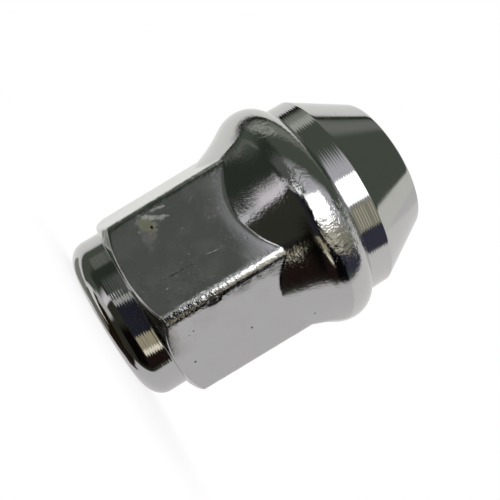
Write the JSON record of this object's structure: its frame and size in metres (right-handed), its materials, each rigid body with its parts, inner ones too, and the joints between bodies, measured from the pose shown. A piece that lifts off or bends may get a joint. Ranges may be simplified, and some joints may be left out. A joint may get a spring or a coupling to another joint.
{
  "type": "lug nut",
  "caption": "Closed-end chrome lug nut: rounded crown, wrench hexagon flaring into a bulged collar, turned band and 60-degree conical seat round a blind threaded hole.",
  "frame": {"origin": "centre of the crown's flat closed end, which the nut stands on", "axes": "+Z along the thread axis, from the closed crown to the open seat end; two opposite corners of the hexagon lie on X, two opposite flats face along Y"},
  "size_m": [0.0276, 0.0276, 0.0367],
  "materials": {
    "chrome_plate": "bright chrome plate over forged and turned steel"
  },
  "bodies": {
    "root": {"lug_nut": "chrome_plate"}
  },
  "joints": []
}
